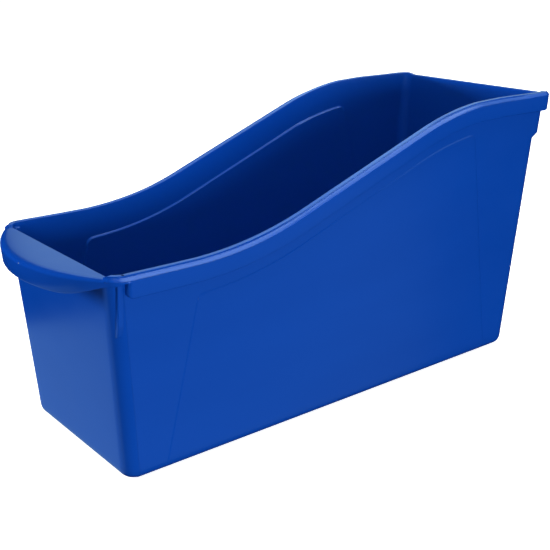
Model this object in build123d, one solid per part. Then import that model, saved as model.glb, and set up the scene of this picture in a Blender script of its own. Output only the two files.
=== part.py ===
"""Deep book bin with an S-curved rim and a hooded pull handle, in mm.

The real bin is one injection moulding.  The moulding is built once, with continuous
drafted surfaces, and then cut into its regions: floor, walls, rim, handle and ribs.
The regions meet face to face, so together they make the closed moulding again.

Axes: +Z up, the handle end faces -Y, the tall end faces +Y, the floor rests on Z = 0.
"""
import os
from math import cos, radians, sin, tan

from build123d import *

OUT_DIR = "parts"

# Tub: outside of the floor corner lines, and how far each wall leans out per mm of height.
FLOOR_HALF_WIDTH = 54.0
FLOOR_FRONT = -145.6
FLOOR_REAR = 163.4
SIDE_DRAFT = 0.054
FRONT_DRAFT = 0.070
REAR_DRAFT = 0.039
WALL = 2.2
FLOOR_THICKNESS = 2.6
CORNER_RADIUS = 9.0
BOTTOM_RADIUS = 4.0
LOFT_TOP = 190.0

# Shoulder: the rear wall steps out so that stacked bins rest on each other.
SHOULDER_START = 145.5
SHOULDER_END = 151.5
SHOULDER_STEP = 3.2

# Rim line seen from the side: flat, hollow arc, straight slope, crowning arc, flat.
RIM_LOW = 119.0
RIM_HIGH = 179.3
RIM_CURVE_START = -105.0
RIM_SLOPE_DEGREES = 20.9
RIM_LOWER_RADIUS = 208.0
RIM_UPPER_RADIUS = 160.0

# Rim section: a flat flange with a skirt turned down at its outer edge.
REAR_RIM_Y = 177.1
RIM_HALF_WIDTH = 67.5
RIM_CORNER_RADIUS = 12.0
RIM_PLATE = 2.2
SKIRT_DEPTH = 11.2
SKIRT_THICKNESS = 1.8
SKIRT_FRONT_Y = -146.6
SKIRT_END_RADIUS = 3.0

# Pressed-in panel on both long walls: outside pocket, inside raised by the same step.
PANEL_STEP = 1.0
PANEL_DROP = 20.0
PANEL_FRONT_Y = -122.6
PANEL_REAR_Y = 140.4
PANEL_FRONT_LEAN = 0.206
PANEL_REAR_LEAN = 0.227

# Pull handle: a D-shaped hood in front of the low wall, open underneath.
GRIP_TOP = 117.1
GRIP_FRONT_Y = -177.1
GRIP_HALF_WIDTH = 60.0
GRIP_FRONT_RADIUS = 120.0
GRIP_CORNER_RADIUS = 13.0
GRIP_DEPTH = 9.0
GRIP_EDGE_RISE = 5.0
GRIP_NOSE_RADIUS = 5.5
GRIP_SHELL = 2.4

# Stacking rib on each rounded front corner.
RIB_FRONT_Y = -151.8
RIB_THICKNESS = 2.3
RIB_BOTTOM = 84.0
RIB_PROUD = 0.6
RIB_TAPER = 8.0

# Where the moulding is cut into regions.
FLOOR_CUT_Z = 5.0
MITRE_X = FLOOR_HALF_WIDTH - CORNER_RADIUS
MITRE_FRONT_Y = FLOOR_FRONT + CORNER_RADIUS
MITRE_REAR_Y = FLOOR_REAR - CORNER_RADIUS
FAR = 260.0


def ring(height, side=0.0, front=0.0, rear=0.0, radius=CORNER_RADIUS):
    """Rounded rectangle of the drafted tub at one height, grown outward on chosen sides."""
    half_width = FLOOR_HALF_WIDTH + SIDE_DRAFT * height + side
    y_front = FLOOR_FRONT - FRONT_DRAFT * height - front
    y_rear = FLOOR_REAR + REAR_DRAFT * height + rear
    face = RectangleRounded(2 * half_width, y_rear - y_front, radius)
    return Pos(0, (y_front + y_rear) / 2, height) * face


def drafted(low, high, **grow):
    """Solid between two heights of the drafted tub."""
    return loft([ring(low, **grow), ring(high, **grow)], ruled=True)


def rim_path(drop):
    """Rim line in (y, z), shifted down by drop, from beyond the front to beyond the rear."""
    slope = radians(RIM_SLOPE_DEGREES)
    low = RIM_LOW - drop
    high = RIM_HIGH - drop
    y_a = RIM_CURVE_START
    y_b = y_a + RIM_LOWER_RADIUS * sin(slope)
    z_b = low + RIM_LOWER_RADIUS * (1 - cos(slope))
    z_c = high - RIM_UPPER_RADIUS * (1 - cos(slope))
    y_c = y_b + (z_c - z_b) / tan(slope)
    y_d = y_c + RIM_UPPER_RADIUS * sin(slope)
    front_flat = Line((-FAR, low), (y_a, low))
    hollow = RadiusArc((y_a, low), (y_b, z_b), -RIM_LOWER_RADIUS)
    straight = Line((y_b, z_b), (y_c, z_c))
    crown = RadiusArc((y_c, z_c), (y_d, high), RIM_UPPER_RADIUS)
    rear_flat = Line((y_d, high), (FAR, high))
    return [front_flat, hollow, straight, crown, rear_flat]


def below_rim(drop):
    """Everything under the rim line, as a long prism across the bin."""
    outline = rim_path(drop)
    outline.append(Polyline((FAR, RIM_HIGH - drop), (FAR, -FAR), (-FAR, -FAR), (-FAR, RIM_LOW - drop)))
    face = Plane.YZ * make_face(Curve() + outline)
    return extrude(face, amount=FAR, both=True)


def panel_prism(grow):
    """Prism across the bin with the outline of the side panels, grown by grow."""
    bottom = [(PANEL_FRONT_Y - grow, 0), (PANEL_REAR_Y + grow, 0)]
    front_top = (PANEL_FRONT_Y - grow + PANEL_FRONT_LEAN * RIM_HIGH, RIM_HIGH)
    rear_top = (PANEL_REAR_Y + grow - PANEL_REAR_LEAN * RIM_HIGH, RIM_HIGH)
    face = Plane.YZ * Polygon(bottom[0], bottom[1], rear_top, front_top, align=None)
    return extrude(face, amount=FAR, both=True) & below_rim(PANEL_DROP - grow)


def plan_prism(*corners):
    """Tall prism over a polygon drawn in plan."""
    return extrude(Pos(0, 0, -FAR) * Polygon(*corners, align=None), amount=3 * FAR)


def tub_outside():
    """Closed outer shape of the tub, with the rear shoulder and the side pockets."""
    body = drafted(0, LOFT_TOP)
    body = fillet(body.edges().group_by(Axis.Z)[0], BOTTOM_RADIUS)
    step = loft([ring(SHOULDER_START), ring(SHOULDER_END, rear=SHOULDER_STEP)], ruled=True)
    return body + step + drafted(SHOULDER_END, LOFT_TOP, rear=SHOULDER_STEP)


def side_pockets(solid, grow):
    """Slabs of the two long sides of a drafted solid, inside the panel outline."""
    core = drafted(-1, LOFT_TOP, side=-PANEL_STEP, rear=FAR / 10, front=FAR / 10)
    return (solid & panel_prism(grow)) - core


def tub_inside():
    """Closed inner shape of the tub: the room for the books."""
    inset = {"side": -WALL, "front": -WALL, "radius": CORNER_RADIUS - WALL}
    lift = WALL / 2
    body = drafted(FLOOR_THICKNESS, LOFT_TOP + 1, rear=-WALL, **inset)
    body = fillet(body.edges().group_by(Axis.Z)[0], BOTTOM_RADIUS)
    low = ring(SHOULDER_START + lift, rear=-WALL, **inset)
    high = ring(SHOULDER_END + lift, rear=SHOULDER_STEP - WALL, **inset)
    upper = drafted(SHOULDER_END + lift, LOFT_TOP + 1, rear=SHOULDER_STEP - WALL, **inset)
    body = body + loft([low, high], ruled=True) + upper
    core = drafted(-1, LOFT_TOP + 2, side=-WALL - PANEL_STEP, rear=FAR / 10, front=FAR / 10)
    ledges = (body & panel_prism(WALL)) - core
    return body - ledges


def rim_ring(inset):
    """Outer shape of the rim over the whole height, inset by a thickness."""
    side = RIM_HALF_WIDTH - FLOOR_HALF_WIDTH - SIDE_DRAFT * RIM_HIGH - inset
    rear = REAR_RIM_Y - FLOOR_REAR - REAR_DRAFT * RIM_HIGH - inset
    radius = RIM_CORNER_RADIUS - inset
    return drafted(90, LOFT_TOP, side=side, rear=rear, radius=radius)


def rim_band():
    """Flange and skirt outside the tub walls, all round except under the handle."""
    plate = (rim_ring(0) & below_rim(0)) - below_rim(RIM_PLATE)
    skirt = (rim_ring(0) - rim_ring(SKIRT_THICKNESS)) & below_rim(RIM_PLATE)
    skirt = skirt - below_rim(SKIRT_DEPTH)
    lower = RIM_LOW - SKIRT_DEPTH
    front_end = Polygon(
        (-FAR, -FAR),
        (SKIRT_FRONT_Y + SKIRT_END_RADIUS, -FAR),
        (SKIRT_FRONT_Y + SKIRT_END_RADIUS, lower),
        (SKIRT_FRONT_Y, lower + SKIRT_END_RADIUS),
        (SKIRT_FRONT_Y, RIM_LOW - RIM_PLATE),
        (-FAR, RIM_LOW - RIM_PLATE),
        align=None,
    )
    skirt = skirt - extrude(Plane.YZ * front_end, amount=FAR, both=True)
    return plate + skirt


def grip_outline(inset, y_back):
    """D-shaped plan of the hood, from a straight back line to the curved front."""
    half = GRIP_HALF_WIDTH - inset
    y_apex = GRIP_FRONT_Y + inset
    radius = GRIP_FRONT_RADIUS - inset
    disc = Pos(0, y_apex + radius) * Circle(radius)
    strip = Pos(0, (y_apex - 1 + y_back) / 2) * Rectangle(2 * half, y_back - y_apex + 1)
    face = disc & strip
    corners = face.vertices().sort_by(Axis.Y)[:2]
    return fillet(corners, GRIP_CORNER_RADIUS - inset)


def grip_hood(neighbours):
    """Hood of the handle: flat top, rounded nose, hollow underneath for the fingers."""
    y_back = RIB_FRONT_Y
    low = GRIP_TOP - GRIP_DEPTH
    hood = extrude(Pos(0, 0, low) * grip_outline(0, y_back), amount=GRIP_DEPTH)
    nose = hood.edges().group_by(Axis.Z)[-1].filter_by(lambda e: e.center().Y < y_back - 1)
    hood = fillet(nose, GRIP_NOSE_RADIUS)
    cavity_height = GRIP_DEPTH - GRIP_SHELL
    cavity = extrude(Pos(0, 0, low) * grip_outline(GRIP_SHELL, y_back), amount=cavity_height)
    hood = hood - cavity
    edge_radius = (GRIP_HALF_WIDTH**2 + GRIP_EDGE_RISE**2) / (2 * GRIP_EDGE_RISE)
    above_edge = Pos(0, 0, low + edge_radius) * Rot(90, 0, 0) * Cylinder(edge_radius, 2 * FAR)
    return (hood & above_edge) - neighbours


def stacking_rib(outside):
    """Tapered upright fin on the right front corner, under the flange."""
    top = RIM_LOW - RIM_PLATE
    x_out = FLOOR_HALF_WIDTH + RIB_PROUD
    x_in = FLOOR_HALF_WIDTH - CORNER_RADIUS
    face = Polygon(
        (x_in, RIB_BOTTOM),
        (x_out + SIDE_DRAFT * RIB_BOTTOM - RIB_THICKNESS, RIB_BOTTOM),
        (x_out + SIDE_DRAFT * RIB_BOTTOM, RIB_BOTTOM + RIB_TAPER),
        (x_out + SIDE_DRAFT * top, top),
        (x_in, top),
        align=None,
    )
    fin = extrude(Pos(0, RIB_FRONT_Y + RIB_THICKNESS, 0) * (Plane.XZ * face), amount=RIB_THICKNESS)
    return fin - outside


def build_regions():
    """Build the moulding once and cut it into its named regions."""
    outside = tub_outside()
    pockets = side_pockets(outside, 0)
    shell = ((outside - pockets) - tub_inside()) & below_rim(0)
    dip_width = 2 * (MITRE_X + CORNER_RADIUS)
    dip_rear = MITRE_FRONT_Y - 2 * WALL
    dip = Pos(0, dip_rear - FAR / 2, GRIP_TOP + FAR / 2) * Box(dip_width, FAR, FAR)
    shell = shell - dip
    rim = rim_band() - outside

    front = plan_prism(
        (-MITRE_X, MITRE_FRONT_Y),
        (-MITRE_X - FAR, MITRE_FRONT_Y - FAR),
        (MITRE_X + FAR, MITRE_FRONT_Y - FAR),
        (MITRE_X, MITRE_FRONT_Y),
    )
    rear = plan_prism(
        (-MITRE_X, MITRE_REAR_Y),
        (MITRE_X, MITRE_REAR_Y),
        (MITRE_X + FAR, MITRE_REAR_Y + FAR),
        (-MITRE_X - FAR, MITRE_REAR_Y + FAR),
    )
    right = plan_prism((0, -2 * FAR), (2 * FAR, -2 * FAR), (2 * FAR, 2 * FAR), (0, 2 * FAR))
    base = Pos(0, 0, FLOOR_CUT_Z - FAR / 2) * Box(2 * FAR, 2 * FAR, FAR)

    walls = shell - base
    sides = walls - front - rear
    side_rims = rim - rear
    rib = stacking_rib(outside)
    return {
        "floor_pan": shell & base,
        "front_wall": walls & front,
        "rear_wall": walls & rear,
        "right_wall": sides & right,
        "left_wall": sides - right,
        "right_rim": side_rims & right,
        "left_rim": side_rims - right,
        "rear_rim": rim & rear,
        "pull_handle": grip_hood(outside + rim),
        "right_stacking_rib": rib,
        "left_stacking_rib": mirror(rib, about=Plane.YZ),
    }


os.makedirs(OUT_DIR, exist_ok=True)
for name, region in build_regions().items():
    region.label = name
    export_step(region, f"{OUT_DIR}/{name}.step")
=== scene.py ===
"""Looks of the moulded book bin: one finely built shell, its pull handle and its stacking ribs."""

import math

import bmesh
import bpy
import numpy as np
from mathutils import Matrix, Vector


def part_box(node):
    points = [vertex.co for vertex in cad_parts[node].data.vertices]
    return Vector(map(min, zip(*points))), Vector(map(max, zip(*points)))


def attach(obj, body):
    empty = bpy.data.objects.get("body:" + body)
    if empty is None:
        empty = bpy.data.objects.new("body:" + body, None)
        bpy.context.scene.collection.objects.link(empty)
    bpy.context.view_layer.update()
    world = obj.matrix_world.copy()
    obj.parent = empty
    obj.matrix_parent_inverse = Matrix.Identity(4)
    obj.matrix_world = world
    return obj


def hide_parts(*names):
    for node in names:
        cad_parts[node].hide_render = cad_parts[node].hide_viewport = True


MM = 0.001

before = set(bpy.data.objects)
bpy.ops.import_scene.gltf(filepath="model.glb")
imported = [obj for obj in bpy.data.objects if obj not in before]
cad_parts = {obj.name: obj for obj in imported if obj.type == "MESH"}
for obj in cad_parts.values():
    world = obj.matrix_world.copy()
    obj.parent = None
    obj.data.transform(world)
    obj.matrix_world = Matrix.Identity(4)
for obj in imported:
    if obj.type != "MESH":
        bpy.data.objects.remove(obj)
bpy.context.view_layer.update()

# ---------------------------------------------------------------- driving sizes, in metres

floor_low, floor_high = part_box("floor_pan")
rear_rim_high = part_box("rear_rim")[1]
side_rim_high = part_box("right_rim")[1]
grip_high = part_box("pull_handle")[1]
rib_low, rib_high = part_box("right_stacking_rib")

# Tub: how far each wall leans out per metre of height, and the plan at the floor.
SIDE_DRAFT = 0.0505
FRONT_DRAFT = 0.070
REAR_DRAFT = 0.045
FLOOR_SIDE_MARGIN = 0.6 * MM
HALF_WIDTH = floor_high.x + FLOOR_SIDE_MARGIN - SIDE_DRAFT * floor_high.z
FRONT_Y = floor_low.y + FRONT_DRAFT * floor_high.z
REAR_Y = floor_high.y - REAR_DRAFT * floor_high.z
WALL = 2.2 * MM
CORNER_RADIUS = 9.0 * MM
REAR_TOP_RADIUS = 7.5 * MM
BOTTOM_RADIUS = 6.4 * MM
FLOOR_RADIUS = 4.4 * MM
FLOOR_TOP = 2.6 * MM

# Underside: inset from the wall, and height of the shallow recess's edge there, both in mm.
UNDERSIDE_STEPS = ((14.0, 0.9), (13.6, 0.75), (13.2, 0.15), (12.8, 0.0), (10.5, 0.0), (8.8, 0.0))
FOOT_INSET = 8.8 * MM

# Rear shoulder, where the rear wall steps out: a small ledge outside, a long soft curve inside.
SHOULDER_LOW = 148.6 * MM
SHOULDER_HIGH = 152.6 * MM
SHOULDER_STEP = 3.8 * MM
INNER_CURVE_LOW = 118.0 * MM

# Rim line seen from the side: flat, hollow arc, straight slope, crowning arc, flat.
RIM_LOW = 118.6 * MM
RIM_HIGH = side_rim_high.z
RIM_REAR = RIM_HIGH - 1.4 * MM
RIM_FRONT = grip_high.z - 0.3 * MM
RIM_CURVE_START = -110.0 * MM
RIM_SLOPE = math.radians(20.9)
RIM_LOWER_RADIUS = 218.0 * MM
RIM_UPPER_RADIUS = 183.0 * MM

# Flange and its turned-down skirt, which starts behind the front corner.
PLATE = 2.2 * MM
SKIRT_DEPTH = 11.2 * MM
SKIRT_THICKNESS = 1.8 * MM
SKIRT_LEAN = 0.06
SKIRT_EDGE_ROUND = 0.7 * MM
SKIRT_FRONT_Y = -145.4 * MM
SKIRT_END_RADIUS = 3.0 * MM
SKIRT_END_TUCK = 2.2 * MM
SKIRT_WEB = 1.5 * MM
UNDER_FILLET = 0.8 * MM
REAR_OVERREACH = 1.0 * MM
SIDE_FLANGE = side_rim_high.x - HALF_WIDTH - SIDE_DRAFT * RIM_HIGH
REAR_FLANGE = rear_rim_high.y + REAR_OVERREACH - REAR_Y - REAR_DRAFT * RIM_HIGH - SHOULDER_STEP
CORNER_FADE = 0.8
CORNER_DIP_START = 45.0

# Top of the rim: flat inner strip, thin groove, sloping outer strip.
RIM_OUTER_ROUND = 0.5 * MM
RIM_INNER_ROUND = 0.5 * MM
RIM_CHAMFER_WIDTH = 2.4 * MM
RIM_CHAMFER_FALL = 1.9 * MM
RIM_DROP = 1.3 * MM
DROP_FADE_START = 140.0 * MM
DROP_FADE_LENGTH = 20.0 * MM
GROOVE_DEPTH = 0.30 * MM
# Way across the top from the sloping strip inward, share of the drop, and share of the groove.
RIM_TOP_STEPS = (
    (0.04, 0.92, 0.0),
    (0.1, 0.8, 0.0),
    (0.17, 0.65, 0.0),
    (0.2, 0.6, 0.7),
    (0.23, 0.5, 1.0),
    (0.27, 0.1, 0.6),
    (0.3, 0.0, 0.0),
    (0.34, 0.0, 0.0),
    (0.65, 0.0, 0.0),
    (1.0, 0.0, 0.0),
)

# Side panel: barely proud outside, a clear ledge inside.
PANEL_RAISE = 0.32 * MM
PANEL_LEDGE = 1.6 * MM
PANEL_EDGE = 0.7 * MM
PANEL_DROP = 20.0 * MM
PANEL_CORNER = 4.0 * MM
PANEL_FRONT_Y = -122.6 * MM
PANEL_REAR_Y = 140.4 * MM
PANEL_FRONT_LEAN = 0.206
PANEL_REAR_LEAN = 0.227

# Mesh spacing: columns along each stretch, and extra ones close to edges, in mm from the edge.
FLAT_COLUMNS = 10
CORNER_COLUMNS = 19
PANEL_COLUMNS = 78
SKIRT_END_COLUMNS = (-1.2, -0.6, -0.01, 0, 0.1, 0.3, 0.7, 1.2, 1.8, 2.4, 3.0)
EDGE_COLUMNS = (-4.5, -3.4, -2.7, -2.35, -2.0, -1.65, -1.3, -0.95, -0.65, -0.32, 0, 0.32, 0.65, 1.1, 2.0)
LEDGE_ROWS = (-2.4, -1.3, -0.75, -0.45, -0.2, 0.0, 0.2, 0.45, 0.75, 1.3, 2.4)
SHOULDER_ROWS = (0, 0.15, 0.35, 0.5, 0.65, 0.85, 1)
WALL_ROWS = 30
TOP_ROWS = 7
SETTLING_ROUNDS = 12

# Pull handle: a D-shaped hood in front of the low wall.
GRIP_TOP = grip_high.z
GRIP_BACK_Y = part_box("front_wall")[0].y + 2.25 * MM
GRIP_HALF_WIDTH = 61.6 * MM
GRIP_APEX_Y = -174.0 * MM
GRIP_FRONT_RADIUS = 93.7 * MM
GRIP_CORNER_RADIUS = 7.0 * MM
GRIP_END_Y = -145.5 * MM
GRIP_END_START = 0.2
GRIP_SHELL = 2.4 * MM
GRIP_NOSE = 3.9 * MM
GRIP_END_NOSE = 2.2 * MM
GRIP_BULGE_SHARE = 0.62
GRIP_DEPTH = 10.9 * MM
GRIP_END_DEPTH = 3.9 * MM
GRIP_EDGE = 0.7 * MM
GRIP_FACE_LEAN = 0.25 * MM
GRIP_EDGE_INSET = 0.6 * MM
GRIP_BACK_TAPER = 0.6
GRIP_LEAST_CURVE = 0.4 * MM

# Stacking rib: set back from the CAD rib's front, with a tapered foot.
RIB_SET_BACK = 2.3 * MM
RIB_THICKNESS = 3.2 * MM
RIB_WIDTH = 6.0 * MM
RIB_TOP_GAP = 0.5 * MM
RIB_TAPER_HIGH = 8.0 * MM
RIB_TAPER_LOW = 2.0 * MM
RIB_TAPER_IN = 1.6 * MM
RIB_ROUND = 0.45 * MM

CREASE_ANGLE = math.radians(38)
WELD_DISTANCE = 0.001 * MM

# Blue polypropylene, and the tints of the cards it reflects.
BASE_DARK = (0.0010, 0.0420, 0.303)
BASE_LIGHT = (0.0016, 0.0475, 0.331)
ROUGH_LOW = 0.22
ROUGH_HIGH = 0.27
REFRACTION = 1.49
SPECULAR = 0.45
SPECULAR_TINT = (0.6, 0.85, 1.0, 1)
GRAIN_STRENGTH = 0.06
GRAIN_HEIGHT = 0.05 * MM
FLOW_SCALE = 9.0
GLOSS_SCALE = 60.0
GRAIN_SCALE = 1500.0
CARD_COLOUR = (0.46, 0.77, 1.0)
FRONT_CARD_COLOUR = (0.43, 0.79, 1.0)
RIM_CARD_COLOUR = (0.8, 0.9, 1.0)

# Camera and studio.
CAMERA_PLACE = Vector((437.4, -356.0, 266.9)) * MM
CAMERA_YAW = math.radians(51.17)
CAMERA_PITCH = math.radians(19.15)
CAMERA_ROLL = 0.0052
CAMERA_LENS = 61.54
CAMERA_SENSOR = 36.0
STUDIO_RADIUS = 6.0
STUDIO_DROP = 0.2 * MM
STUDIO_GLOW = 0.9
STUDIO_WHITE = (0.9, 0.9, 0.9, 1)
SKY_STRENGTH = 0.25


# ---------------------------------------------------------------- lines and surfaces of the tub

def smoothstep(value):
    value = np.clip(value, 0.0, 1.0)
    return value * value * (3.0 - 2.0 * value)


def mix(first, second, share):
    return first + share * (second - first)


def rim_height(y):
    """Height of the S-curved rim line at a place along the bin."""
    y_slope = RIM_CURVE_START + RIM_LOWER_RADIUS * math.sin(RIM_SLOPE)
    z_slope = RIM_LOW + RIM_LOWER_RADIUS * (1 - math.cos(RIM_SLOPE))
    z_crown = RIM_HIGH - RIM_UPPER_RADIUS * (1 - math.cos(RIM_SLOPE))
    y_crown = y_slope + (z_crown - z_slope) / math.tan(RIM_SLOPE)
    y_flat = y_crown + RIM_UPPER_RADIUS * math.sin(RIM_SLOPE)
    if y <= RIM_CURVE_START:
        return RIM_LOW
    if y < y_slope:
        run = y - RIM_CURVE_START
        return RIM_LOW + RIM_LOWER_RADIUS - math.sqrt(RIM_LOWER_RADIUS**2 - run**2)
    if y < y_crown:
        return z_slope + (y - y_slope) * math.tan(RIM_SLOPE)
    if y < y_flat:
        run = y_flat - y
        return RIM_HIGH - RIM_UPPER_RADIUS + math.sqrt(RIM_UPPER_RADIUS**2 - run**2)
    return RIM_HIGH


def rim_slope(y):
    return (rim_height(y + MM) - rim_height(y - MM)) / (2 * MM)


def half_width(z):
    return HALF_WIDTH + SIDE_DRAFT * z


def front_y(z):
    return FRONT_Y - FRONT_DRAFT * z


def shoulder_share(z, inside):
    """How much of the rear shoulder's step is taken at a height."""
    if inside:
        return float(np.clip((z - INNER_CURVE_LOW) / (RIM_HIGH - INNER_CURVE_LOW), 0, 1)) ** 2
    return float(smoothstep((z - SHOULDER_LOW) / (SHOULDER_HIGH - SHOULDER_LOW)))


def rear_y(z, inside=False):
    return REAR_Y + REAR_DRAFT * z + SHOULDER_STEP * shoulder_share(z, inside)


def rear_radius(z, inside=False):
    """Corner radius at the rear, tighter above the shoulder."""
    return mix(CORNER_RADIUS, REAR_TOP_RADIUS, shoulder_share(z, inside))


def rounded_min(first, second):
    """Smaller of two distances, with the panel's corner between them rounded."""
    if first < PANEL_CORNER and second < PANEL_CORNER:
        return PANEL_CORNER - math.hypot(PANEL_CORNER - first, PANEL_CORNER - second)
    return min(first, second)


# ---------------------------------------------------------------- upright columns round the tub

class Column:
    """One upright line round the tub: where it runs, which way it faces, and how its rim is built."""

    rim = RIM_HIGH
    flange = SIDE_FLANGE
    skirt = SKIRT_DEPTH
    drop = 0.0
    closes_skirt = False

    def at(self, z, outward, plan_z=None, inside=False):
        """Point at height z, set off outward from the wall surface."""
        plan = self.base(z if plan_z is None else plan_z, inside) + self.facing * outward
        return (plan[0], plan[1], z)

    def panel_top(self):
        """Height at which this column crosses the line of the panel's upper edge."""
        return self.rim - PANEL_DROP

    def panel_share(self, z, grow):
        """0 outside the side panel, 1 on it, with a soft edge between."""
        return 0.0


class FrontColumn(Column):
    """Column on the front wall, share 0 in the middle and 1 at the corner."""

    rim = RIM_FRONT
    flange = 0.0
    skirt = 0.0
    facing = np.array((0.0, -1.0))

    def __init__(self, share):
        self.share = share

    def base(self, z, inside=False):
        return np.array((self.share * (half_width(z) - CORNER_RADIUS), front_y(z)))


class FrontCornerColumn(Column):
    """Column on a front corner: the flange fades out and the rim comes down to the front wall."""

    skirt = 0.0

    def __init__(self, angle):
        self.facing = np.array((math.cos(angle), -math.sin(angle)))
        fade = math.cos(angle) ** CORNER_FADE
        turn = (math.degrees(angle) - CORNER_DIP_START) / (90 - CORNER_DIP_START)
        self.rim = mix(RIM_LOW, RIM_FRONT, float(smoothstep(turn)))
        self.flange = SIDE_FLANGE * fade
        self.drop = RIM_DROP * fade

    def base(self, z, inside=False):
        centre = np.array((half_width(z) - CORNER_RADIUS, front_y(z) + CORNER_RADIUS))
        return centre + self.facing * CORNER_RADIUS


class SideColumn(Column):
    """Column on a long side, placed by a shift within one of its zones."""

    facing = np.array((1.0, 0.0))

    def __init__(self, zone, shift):
        self.zone = zone
        self.shift = shift
        if zone == "skirt":
            self.skirt = 0.0 if shift < 0 else SKIRT_DEPTH
            self.closes_skirt = shift < SKIRT_WEB
        for _ in range(SETTLING_ROUNDS):
            self.rim = rim_height(self.base(self.rim)[1])
        y = self.base(self.rim)[1]
        steepness = rim_slope(y) / math.tan(RIM_SLOPE)
        rear_fade = 1 - float(smoothstep((y - DROP_FADE_START) / DROP_FADE_LENGTH))
        self.drop = RIM_DROP * (1 - steepness) * rear_fade

    def base(self, z, inside=False):
        corner_end = front_y(z) + CORNER_RADIUS
        panel_front = PANEL_FRONT_Y + PANEL_FRONT_LEAN * z
        panel_rear = PANEL_REAR_Y - PANEL_REAR_LEAN * z
        corner_start = rear_y(z, inside) - CORNER_RADIUS
        skirt_start = corner_end + SKIRT_FRONT_Y - front_y(RIM_LOW) - CORNER_RADIUS
        places = {
            "skirt": skirt_start + self.shift,
            "front": mix(corner_end, panel_front, self.shift),
            "front_edge": panel_front + self.shift,
            "panel": mix(panel_front, panel_rear, self.shift),
            "rear_edge": panel_rear + self.shift,
            "rear": mix(panel_rear, corner_start, self.shift),
        }
        return np.array((half_width(z), places[self.zone]))

    def panel_top(self):
        height = self.rim - PANEL_DROP
        for _ in range(SETTLING_ROUNDS):
            height = rim_height(self.base(height)[1]) - PANEL_DROP
        return height

    def panel_share(self, z, grow):
        y = self.base(z)[1]
        from_front = y - PANEL_FRONT_Y - PANEL_FRONT_LEAN * z + grow
        from_rear = PANEL_REAR_Y - PANEL_REAR_LEAN * z - y + grow
        from_top = (rim_height(y) - PANEL_DROP - z) * math.cos(math.atan(rim_slope(y))) + grow
        within = rounded_min(rounded_min(from_front, from_rear), from_top)
        return float(smoothstep(within / PANEL_EDGE + 0.5))


class RearCornerColumn(Column):
    """Column on a rear corner, where side flange and rim height change to those of the rear."""

    def __init__(self, angle):
        self.facing = np.array((math.cos(angle), math.sin(angle)))
        turn = angle / (math.pi / 2)
        self.rim = mix(RIM_HIGH, RIM_REAR, float(smoothstep(2 * turn - 1)))
        self.flange = mix(SIDE_FLANGE, REAR_FLANGE, turn)

    def base(self, z, inside=False):
        radius = rear_radius(z, inside)
        centre = np.array((half_width(z) - radius, rear_y(z, inside) - radius))
        return centre + self.facing * radius


class RearColumn(Column):
    """Column on the rear wall, share 1 at the corner and 0 in the middle."""

    rim = RIM_REAR
    flange = REAR_FLANGE
    facing = np.array((0.0, 1.0))

    def __init__(self, share):
        self.share = share

    def base(self, z, inside=False):
        reach = half_width(z) - rear_radius(z, inside)
        return np.array((self.share * reach, rear_y(z, inside)))


def side_columns():
    """Columns of a long side: even ones, and close ones at the skirt's end and the panel's edges."""
    columns = [SideColumn("skirt", shift * MM) for shift in SKIRT_END_COLUMNS]
    columns += [SideColumn("front", share) for share in (0.42, 0.51, 0.6)]
    columns += [SideColumn("front_edge", shift * MM) for shift in EDGE_COLUMNS]
    columns += [SideColumn("panel", share) for share in np.linspace(0.018, 0.982, PANEL_COLUMNS)]
    columns += [SideColumn("rear_edge", -shift * MM) for shift in reversed(EDGE_COLUMNS)]
    columns += [SideColumn("rear", share) for share in np.linspace(0.4, 1, FLAT_COLUMNS)]
    return columns


def right_half_columns():
    """Columns from the middle of the front wall round the right side to the middle of the rear wall."""
    quarter = math.pi / 2
    columns = [FrontColumn(share) for share in np.linspace(0, 1, FLAT_COLUMNS)[:-1]]
    columns += [FrontCornerColumn(angle) for angle in np.linspace(quarter, 0, CORNER_COLUMNS)[:-1]]
    columns += side_columns()
    columns += [RearCornerColumn(angle) for angle in np.linspace(0, quarter, CORNER_COLUMNS)[1:]]
    columns += [RearColumn(share) for share in np.linspace(1, 0, FLAT_COLUMNS)[1:]]
    return columns


# ---------------------------------------------------------------- line of points up, over and down

def skirt_run(column):
    """Distance of a column behind the skirt's front end."""
    return max(0.0, column.base(column.rim)[1] - SKIRT_FRONT_Y)


def skirt_depth(column):
    """Skirt depth on a column, with the rounded lower corner at the front end."""
    run = skirt_run(column)
    if column.skirt == 0.0 or run > SKIRT_END_RADIUS:
        return column.skirt
    rest = SKIRT_END_RADIUS - run
    return column.skirt - SKIRT_END_RADIUS + math.sqrt(SKIRT_END_RADIUS**2 - rest**2)


def skirt_tuck(column):
    """How far the skirt's outer face curves in towards the wall at its front end."""
    run = skirt_run(column)
    if column.skirt == 0.0 or run > SKIRT_END_TUCK:
        return 0.0
    return SKIRT_END_TUCK - math.sqrt(SKIRT_END_TUCK**2 - (SKIRT_END_TUCK - run) ** 2)


def wall_heights(top, ledge):
    """Heights up a wall, close together at the rear shoulder and at the panel's upper edge."""
    rows = list(np.linspace(BOTTOM_RADIUS, SHOULDER_LOW - MM, WALL_ROWS)[1:])
    rows += [mix(SHOULDER_LOW, SHOULDER_HIGH, share) for share in SHOULDER_ROWS]
    rows += [SHOULDER_HIGH + 0.8 * MM, SHOULDER_HIGH + 2.4 * MM]
    scale = (ledge - BOTTOM_RADIUS) / (RIM_HIGH - PANEL_DROP - BOTTOM_RADIUS)
    heights = [BOTTOM_RADIUS + (z - BOTTOM_RADIUS) * scale for z in rows]
    heights += [ledge + shift * MM for shift in LEDGE_ROWS]
    heights += list(np.linspace(ledge + LEDGE_ROWS[-1] * MM, top, TOP_ROWS)[1:])
    return heights


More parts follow.
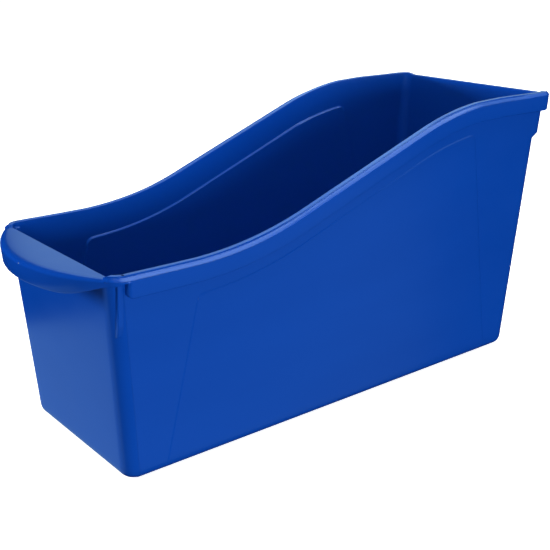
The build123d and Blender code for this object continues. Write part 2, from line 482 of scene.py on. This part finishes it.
def underside_points(column):
    """Recess edge and resting face under the floor, then the rounded bottom edge."""
    points = []
    for inset_mm, z_mm in UNDERSIDE_STEPS:
        inset = inset_mm * MM
        x, y, _ = column.at(0.0, -FOOT_INSET)
        x = min(x, half_width(0) - inset)
        y = min(max(y, front_y(0) + inset), rear_y(0) - inset)
        points.append((x, y, z_mm * MM))
    for angle in np.linspace(0, math.pi / 2, 8):
        z = BOTTOM_RADIUS * (1 - math.cos(angle))
        raised = PANEL_RAISE * column.panel_share(z, 0.0) * z / BOTTOM_RADIUS
        points.append(column.at(z, BOTTOM_RADIUS * (math.sin(angle) - 1) + raised))
    return points


def outer_wall_points(column):
    heights = wall_heights(column.rim - PLATE - UNDER_FILLET, column.panel_top())
    return [column.at(z, PANEL_RAISE * column.panel_share(z, 0.0)) for z in heights]


def flange_points(column):
    """Out under the flange, then down, round and up the skirt."""
    under = column.rim - PLATE
    low = under - max(0.0, skirt_depth(column) - PLATE)
    lean = SKIRT_LEAN * (under - low)
    outer = column.flange - skirt_tuck(column)
    inner = 0.0 if column.closes_skirt else max(0.0, column.flange - SKIRT_THICKNESS)
    fillet = min(UNDER_FILLET, inner)
    edge_round = min(SKIRT_EDGE_ROUND, (column.flange - inner) / 2)
    line = [(under - fillet * (1 - share) ** 2, fillet * share**2) for share in (0.3, 0.7, 1.0)]
    line.append((under, inner))
    line.append(((low + under) / 2, inner - lean / 2))
    for angle in np.linspace(0, math.pi, 9):
        across = mix(inner, outer, (1 - math.cos(angle)) / 2)
        line.append((low - edge_round * math.sin(angle), across - lean))
    line.append(((low + under) / 2, outer - lean / 2))
    line.append((under, outer))
    return [column.at(z, outward, column.rim) for z, outward in line]


def rim_top_points(column):
    """Over the rim: rounded lip, sloping strip, groove, flat strip and rounded inner edge."""
    chamfer = min(RIM_CHAMFER_WIDTH, 0.5 * column.flange)
    fall = RIM_CHAMFER_FALL * chamfer / RIM_CHAMFER_WIDTH
    corner = min(RIM_OUTER_ROUND, 0.5 * chamfer)
    lip = column.rim - column.drop - fall
    start = column.flange - chamfer
    room = start + WALL - RIM_INNER_ROUND
    groove = GROOVE_DEPTH * min(1.0, column.flange / SIDE_FLANGE)
    line = []
    for angle in np.linspace(0, math.pi / 4, 5):
        drop = corner * (1 - math.sin(angle))
        line.append((lip - drop, column.flange - corner * (1 - math.cos(angle))))
    line.append((lip + 0.5 * fall, column.flange - 0.5 * chamfer))
    line.append((lip + 0.93 * fall, start + 0.12 * chamfer))
    for share, lowered, sunk in RIM_TOP_STEPS:
        line.append((column.rim - lowered * column.drop - sunk * groove, start - share * room))
    for angle in np.linspace(0, math.pi / 2, 5)[1:]:
        inward = -WALL + RIM_INNER_ROUND * (1 - math.sin(angle))
        line.append((column.rim - RIM_INNER_ROUND * (1 - math.cos(angle)), inward))
    return [column.at(z, outward, column.rim) for z, outward in line]


def inner_points(column):
    """Down the inside of the wall and round onto the floor."""
    lowest = FLOOR_TOP + FLOOR_RADIUS
    points = []
    for height in reversed(wall_heights(column.rim - 2 * RIM_INNER_ROUND, column.panel_top() + WALL)):
        z = max(height, lowest + MM)
        ledge = PANEL_LEDGE * column.panel_share(z, WALL)
        points.append(column.at(z, -WALL - ledge, inside=True))
    for angle in np.linspace(0, math.pi / 2, 8):
        z = lowest - FLOOR_RADIUS * math.sin(angle)
        ledge = PANEL_LEDGE * column.panel_share(z, WALL)
        points.append(column.at(z, -WALL - ledge - FLOOR_RADIUS * (1 - math.cos(angle))))
    points.append(column.at(FLOOR_TOP, -FOOT_INSET))
    return points


def column_profile(column):
    """Whole line of points of one column: underside, outside, rim, inside, floor."""
    outside = underside_points(column) + outer_wall_points(column) + flange_points(column)
    return outside + rim_top_points(column) + inner_points(column)


# ---------------------------------------------------------------- meshes

def mesh_object(name, work):
    """New mesh object from a bmesh, smooth shaded with crisp edges kept."""
    mesh = bpy.data.meshes.new(name)
    work.to_mesh(mesh)
    work.free()
    thing = bpy.data.objects.new(name, mesh)
    bpy.context.scene.collection.objects.link(thing)
    mesh.shade_smooth()
    mesh.set_sharp_from_angle(angle=CREASE_ANGLE)
    return thing


def mirrored(line):
    return [(-x, y, z) for x, y, z in line]


def build_shell():
    """The whole tub with its rim as one closed mesh."""
    right = [column_profile(column) for column in right_half_columns()]
    left = [mirrored(profile) for profile in reversed(right[1:-1])]
    work = bmesh.new()
    grid = [[work.verts.new(point) for point in profile] for profile in right + left]
    for near, far in zip(grid, grid[1:] + grid[:1]):
        for j in range(len(near) - 1):
            work.faces.new((near[j], far[j], far[j + 1], near[j + 1]))
    work.faces.new([profile[0] for profile in reversed(grid)])
    work.faces.new([profile[-1] for profile in grid])
    bmesh.ops.remove_doubles(work, verts=work.verts, dist=WELD_DISTANCE)
    return mesh_object("bin_shell", work)


def grip_arc(centre, radius, angles):
    """Points and outward directions on an arc, its angles measured from straight ahead."""
    stations = []
    for angle in angles:
        facing = np.array((math.sin(angle), -math.cos(angle)))
        stations.append((np.array(centre) + radius * facing, facing))
    return stations


def grip_outline():
    """Stations round the handle, from the middle of its front to its right end."""
    corner_x = GRIP_HALF_WIDTH - GRIP_CORNER_RADIUS
    inner_radius = GRIP_FRONT_RADIUS - GRIP_CORNER_RADIUS
    centre_y = GRIP_APEX_Y + GRIP_FRONT_RADIUS
    turn = math.asin(corner_x / inner_radius)
    corner_y = centre_y - inner_radius * math.cos(turn)
    front = grip_arc((0.0, centre_y), GRIP_FRONT_RADIUS, np.linspace(0, turn, 22)[:-1])
    end = grip_arc((corner_x, corner_y), GRIP_CORNER_RADIUS, np.linspace(turn, math.pi / 2, 16))
    return [(point, facing) for point, facing in front + end if point[1] < GRIP_END_Y]


def grip_outer_line(point, facing, back, nose, low):
    """Flat top, rounded nose, face and lower edge of the handle at one station."""
    shoulder = point - nose * facing
    bulge = nose * GRIP_BULGE_SHARE
    line = [(back + (shoulder - back) * share, GRIP_TOP) for share in (0.0, 0.03, 0.25, 0.5, 0.75)]
    for angle in np.linspace(0, math.pi / 2, 10):
        spot = shoulder + nose * math.sin(angle) * facing
        line.append((spot, GRIP_TOP - bulge * (1 - math.cos(angle))))
    line.append((point - GRIP_FACE_LEAN * facing, (GRIP_TOP - bulge + low) / 2))
    for angle in np.linspace(0, math.pi, 7):
        inset = GRIP_EDGE_INSET + GRIP_SHELL / 2 * (1 - math.cos(angle))
        line.append((point - inset * facing, low - GRIP_EDGE * math.sin(angle)))
    return line


def grip_inner_line(point, facing, back, nose, low):
    """Hollow underneath the handle at one station."""
    inside = point - (GRIP_EDGE_INSET + GRIP_SHELL) * facing
    roof = GRIP_TOP - GRIP_SHELL
    curve = max(GRIP_LEAST_CURVE, nose - GRIP_SHELL)
    line = []
    for angle in np.linspace(0, math.pi / 2, 6):
        spot = inside - curve * (1 - math.cos(angle)) * facing
        line.append((spot, mix(low, roof, math.sin(angle))))
    start = inside - curve * facing
    for share in (0.35, 0.7, 1.0):
        line.append((start + (back - start) * share, roof))
    return line


def grip_section(point, facing):
    """Closed ring of points across the handle's shell at one station of its outline."""
    along = (point[1] - GRIP_APEX_Y) / (GRIP_BACK_Y - GRIP_APEX_Y)
    end_share = float(smoothstep((along - GRIP_END_START) / (1 - GRIP_END_START)))
    nose = mix(GRIP_NOSE, GRIP_END_NOSE, end_share)
    low = GRIP_TOP - mix(GRIP_DEPTH, GRIP_END_DEPTH, end_share) + GRIP_EDGE
    back = np.array((point[0] - nose * facing[0] * GRIP_BACK_TAPER, GRIP_BACK_Y))
    line = grip_outer_line(point, facing, back, nose, low)
    line += grip_inner_line(point, facing, back, nose, low)
    return [(spot[0], spot[1], z) for spot, z in line]


def build_grip():
    """The hooded pull handle across the front wall, as one closed mesh."""
    right = [grip_section(point, facing) for point, facing in grip_outline()]
    left = [mirrored(ring) for ring in reversed(right[1:])]
    work = bmesh.new()
    grid = [[work.verts.new(point) for point in ring] for ring in left + right]
    for near, far in zip(grid, grid[1:]):
        for j in range(len(near)):
            k = (j + 1) % len(near)
            work.faces.new((near[j], far[j], far[k], near[k]))
    work.faces.new(list(reversed(grid[0])))
    work.faces.new(grid[-1])
    return mesh_object("pull_handle_looks", work)


def build_rib(name, side):
    """Stacking rib under one front corner of the rim, its foot tapering back into the wall."""
    x_out = rib_high.x
    x_in = x_out - RIB_WIDTH
    y_front = rib_low.y + RIB_SET_BACK
    top = rib_high.z - RIB_TOP_GAP
    foot = rib_low.z
    lean = SIDE_DRAFT * (top - foot)
    outline = [
        (x_in, top),
        (x_out, top),
        (x_out - lean * 0.9, foot + RIB_TAPER_HIGH),
        (x_out - lean - RIB_TAPER_IN, foot + RIB_TAPER_LOW),
        (x_in - lean, foot),
    ]
    work = bmesh.new()
    front = [work.verts.new((side * x, y_front, z)) for x, z in outline]
    back = [work.verts.new((side * x, y_front + RIB_THICKNESS, z)) for x, z in outline]
    work.faces.new(front)
    work.faces.new(list(reversed(back)))
    for i in range(len(outline)):
        k = (i + 1) % len(outline)
        work.faces.new((front[k], front[i], back[i], back[k]))
    bmesh.ops.recalc_face_normals(work, faces=work.faces)
    bmesh.ops.bevel(work, geom=work.edges[:], offset=RIB_ROUND, segments=3, affect="EDGES", profile=0.5)
    return mesh_object(name, work)


# ---------------------------------------------------------------- material

def noise(tree, scale, detail, stretch=(1, 1, 1)):
    """Noise texture fixed to the object's place in the shared frame."""
    where = tree.nodes.new("ShaderNodeNewGeometry")
    placing = tree.nodes.new("ShaderNodeMapping")
    placing.inputs["Scale"].default_value = stretch
    tree.links.new(where.outputs["Position"], placing.inputs["Vector"])
    texture = tree.nodes.new("ShaderNodeTexNoise")
    texture.inputs["Scale"].default_value = scale
    texture.inputs["Detail"].default_value = detail
    tree.links.new(placing.outputs["Vector"], texture.inputs["Vector"])
    return texture.outputs["Fac"]


def ramp(tree, source, first, second):
    """Value between first and second that follows a noise's middle range."""
    blend = tree.nodes.new("ShaderNodeMapRange")
    blend.inputs["From Min"].default_value = 0.3
    blend.inputs["From Max"].default_value = 0.7
    blend.inputs["To Min"].default_value = first
    blend.inputs["To Max"].default_value = second
    tree.links.new(source, blend.inputs["Value"])
    return blend.outputs["Result"]


def tint(tree, factor, first, second):
    """Colour between first and second."""
    blend = tree.nodes.new("ShaderNodeMix")
    blend.data_type = "RGBA"
    blend.inputs["A"].default_value = (*first, 1)
    blend.inputs["B"].default_value = (*second, 1)
    tree.links.new(factor, blend.inputs["Factor"])
    return blend.outputs["Result"]


def polypropylene(name):
    """Blue moulded polypropylene: satin skin with faint flow marks, uneven gloss and fine grain."""
    material = bpy.data.materials.new(name)
    material.use_nodes = True
    tree = material.node_tree
    skin = tree.nodes["Principled BSDF"]
    flow = ramp(tree, noise(tree, FLOW_SCALE, 3.0, (1, 0.5, 2)), 0.0, 1.0)
    tree.links.new(tint(tree, flow, BASE_DARK, BASE_LIGHT), skin.inputs["Base Color"])
    gloss = ramp(tree, noise(tree, GLOSS_SCALE, 4.0), ROUGH_LOW, ROUGH_HIGH)
    tree.links.new(gloss, skin.inputs["Roughness"])
    skin.inputs["IOR"].default_value = REFRACTION
    skin.inputs["Specular IOR Level"].default_value = SPECULAR
    skin.inputs["Specular Tint"].default_value = SPECULAR_TINT
    grain = tree.nodes.new("ShaderNodeBump")
    grain.inputs["Strength"].default_value = GRAIN_STRENGTH
    grain.inputs["Distance"].default_value = GRAIN_HEIGHT
    tree.links.new(noise(tree, GRAIN_SCALE, 2.0), grain.inputs["Height"])
    tree.links.new(grain.outputs["Normal"], skin.inputs["Normal"])
    return material


# ---------------------------------------------------------------- camera, studio and light

def build_camera():
    """Camera at the photograph's viewing angle."""
    camera = bpy.data.objects.new("camera", bpy.data.cameras.new("camera"))
    bpy.context.scene.collection.objects.link(camera)
    level = math.cos(CAMERA_PITCH)
    ahead = Vector((-math.sin(CAMERA_YAW) * level, math.cos(CAMERA_YAW) * level, -math.sin(CAMERA_PITCH)))
    level_right = ahead.cross(Vector((0, 0, 1))).normalized()
    level_up = level_right.cross(ahead)
    right = level_right * math.cos(CAMERA_ROLL) + level_up * math.sin(CAMERA_ROLL)
    up = level_up * math.cos(CAMERA_ROLL) - level_right * math.sin(CAMERA_ROLL)
    matrix = camera.matrix_world.copy()
    for row in range(3):
        matrix[row][0], matrix[row][1], matrix[row][2] = right[row], up[row], -ahead[row]
    matrix.translation = CAMERA_PLACE
    camera.matrix_world = matrix
    camera.data.lens = CAMERA_LENS
    camera.data.sensor_width = CAMERA_SENSOR
    camera.data.clip_start = 0.01
    bpy.context.scene.camera = camera


def studio_surface():
    """Round floor that carries on up into a dome, all facing inward."""
    turns = np.linspace(0, 2 * math.pi, 49)[:-1]
    line = [(radius, 0.0) for radius in np.linspace(0.5, STUDIO_RADIUS, 8)]
    for angle in np.linspace(0, math.pi / 2, 14)[1:-1]:
        line.append((STUDIO_RADIUS * math.cos(angle), STUDIO_RADIUS * math.sin(angle)))
    work = bmesh.new()
    rings = [[work.verts.new((r * math.cos(t), r * math.sin(t), z)) for t in turns] for r, z in line]
    for near, far in zip(rings, rings[1:]):
        for j in range(len(turns)):
            k = (j + 1) % len(turns)
            work.faces.new((near[j], far[j], far[k], near[k]))
    work.faces.new(rings[0])
    work.faces.new(list(reversed(rings[-1])))
    return mesh_object("studio_floor", work)


def studio_paint():
    """Plain white that glows a little and can be seen through from outside the studio."""
    paint = bpy.data.materials.new("floor_white")
    paint.use_nodes = True
    nodes = paint.node_tree.nodes
    links = paint.node_tree.links
    glow = nodes["Principled BSDF"]
    glow.inputs["Base Color"].default_value = STUDIO_WHITE
    glow.inputs["Roughness"].default_value = 0.9
    glow.inputs["Emission Color"].default_value = (1, 1, 1, 1)
    glow.inputs["Emission Strength"].default_value = STUDIO_GLOW
    facing = nodes.new("ShaderNodeNewGeometry")
    clear = nodes.new("ShaderNodeBsdfTransparent")
    choose = nodes.new("ShaderNodeMixShader")
    links.new(facing.outputs["Backfacing"], choose.inputs["Fac"])
    links.new(glow.outputs["BSDF"], choose.inputs[1])
    links.new(clear.outputs["BSDF"], choose.inputs[2])
    links.new(choose.outputs["Shader"], nodes["Material Output"].inputs["Surface"])
    return paint


def build_studio():
    """Floor and dome that only the camera sees, and an even sky that only lights."""
    floor = studio_surface()
    floor.location.z = -STUDIO_DROP
    floor.data.materials.append(studio_paint())
    floor.visible_diffuse = False
    floor.visible_glossy = False
    floor.visible_shadow = False
    world = bpy.data.worlds.new("studio")
    world.use_nodes = True
    sky = world.node_tree.nodes["Background"]
    sky.inputs["Color"].default_value = (1, 1, 1, 1)
    sky.inputs["Strength"].default_value = SKY_STRENGTH
    world.cycles_visibility.glossy = False
    bpy.context.scene.world = world
    bpy.context.scene.view_settings.view_transform = "Standard"


def area_light(name, place, aim, size, power):
    """Soft rectangular lamp that the camera doesn't see."""
    data = bpy.data.lights.new(name, "AREA")
    data.shape = "RECTANGLE"
    data.size, data.size_y = size
    data.energy = power
    lamp = bpy.data.objects.new(name, data)
    bpy.context.scene.collection.objects.link(lamp)
    lamp.location = place
    lamp.rotation_euler = (Vector(aim) - Vector(place)).to_track_quat("-Z", "Y").to_euler()
    lamp.visible_camera = False
    return lamp


def softbox(name, place, aim, size, power):
    """Lamp that lights the bin and leaves no reflection."""
    area_light(name, place, aim, size, power).visible_glossy = False


def card(name, place, aim, size, power, colour=CARD_COLOUR):
    """Tinted card that shows only as a reflection."""
    lamp = area_light(name, place, aim, size, power)
    lamp.data.color = colour
    lamp.visible_diffuse = False


def light_studio():
    """Even daylight-like light, and the cards that the satin skin reflects."""
    middle = (0, 0, 0.15)
    softbox("top_softbox", (0.2, -0.1, 1.6), (0, 0, 0.1), (0.8, 0.8), 17.0)
    softbox("front_softbox", (-1.5, -1.0, 0.24), (0, -0.15, 0.06), (0.4, 0.4), 54.0)
    softbox("right_softbox", (1.65, -0.35, 0.17), (0, 0, 0.06), (0.8, 0.4), 25.8)
    softbox("rear_softbox", (-0.55, 1.7, 0.16), (0, 0.15, 0.08), (0.6, 0.3), 20.0)
    front_place, front_aim = (-0.099, -0.233, -0.094), (0.033, -0.135, -0.021)
    card("left_low_card", front_place, front_aim, (0.4, 0.2), 0.14, FRONT_CARD_COLOUR)
    card("right_low_card", (0.40, 0.14, -0.16), (0.06, -0.05, 0.05), (0.5, 0.4), 0.22)
    card("left_back_card", (-1.6, 1.3, 0.75), middle, (1.6, 0.8), 3.9)
    card("left_upper_card", (-1.45, 0.65, 1.5), middle, (0.9, 0.9), 4.2)
    card("back_top_card", (-0.3, 1.35, 1.4), middle, (3.2, 1.2), 14.0)
    card("overhead_card", (0.45, 0.6, 1.65), (0, 0, 0.12), (1.1, 1.1), 19.0, RIM_CARD_COLOUR)
    card("panel_edge_card", (1.1, 0.95, 0.45), (0, 0, 0.1), (0.5, 0.9), 1.8)


# ---------------------------------------------------------------- the whole scene

blue = polypropylene("blue_polypropylene_skin")
shell = build_shell()
grip = build_grip()
right_rib = build_rib("right_rib_looks", 1)
left_rib = build_rib("left_rib_looks", -1)
for piece in (shell, grip, right_rib, left_rib):
    piece.data.materials.append(blue)
    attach(piece, "root")
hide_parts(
    "floor_pan",
    "front_wall",
    "rear_wall",
    "left_wall",
    "right_wall",
    "left_rim",
    "right_rim",
    "rear_rim",
)
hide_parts("pull_handle")
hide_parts("right_stacking_rib")
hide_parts("left_stacking_rib")

build_camera()
build_studio()
light_studio()
